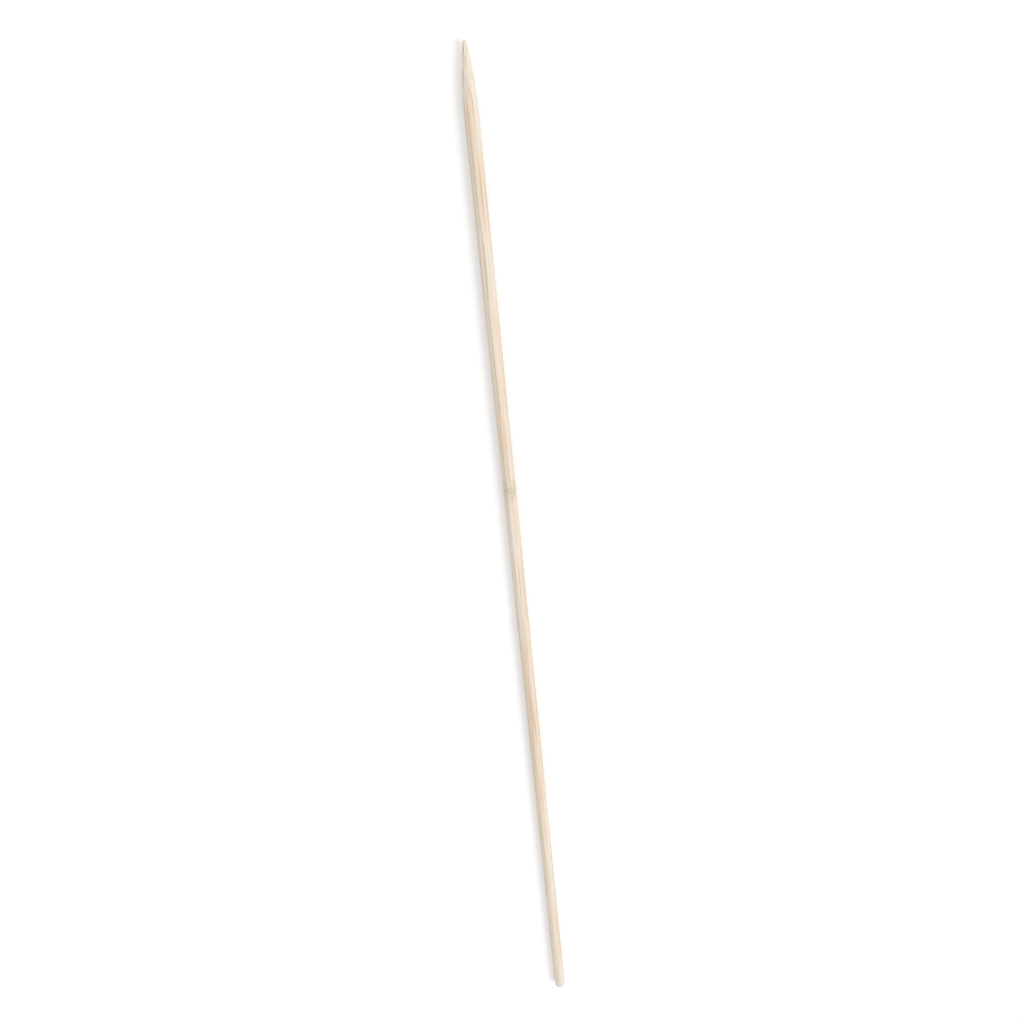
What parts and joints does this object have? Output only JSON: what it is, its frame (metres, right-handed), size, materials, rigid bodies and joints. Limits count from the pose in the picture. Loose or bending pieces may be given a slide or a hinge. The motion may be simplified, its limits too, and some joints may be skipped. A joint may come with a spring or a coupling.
{
  "type": "bamboo skewer",
  "caption": "Slim round bamboo stick with a ground point at one end and a square sawn butt at the other, for threading and grilling food.",
  "frame": {"origin": "centre of the sawn butt end, on the stick's axis", "axes": "+X along the stick, from the butt end to the point; the stick is round, so Y and Z are alike"},
  "size_m": [0.3, 0.0024, 0.0024],
  "materials": {
    "bamboo": "bare sanded bamboo, satin, with fine lengthwise fibre"
  },
  "bodies": {
    "root": {"skewer": "bamboo"}
  },
  "joints": []
}
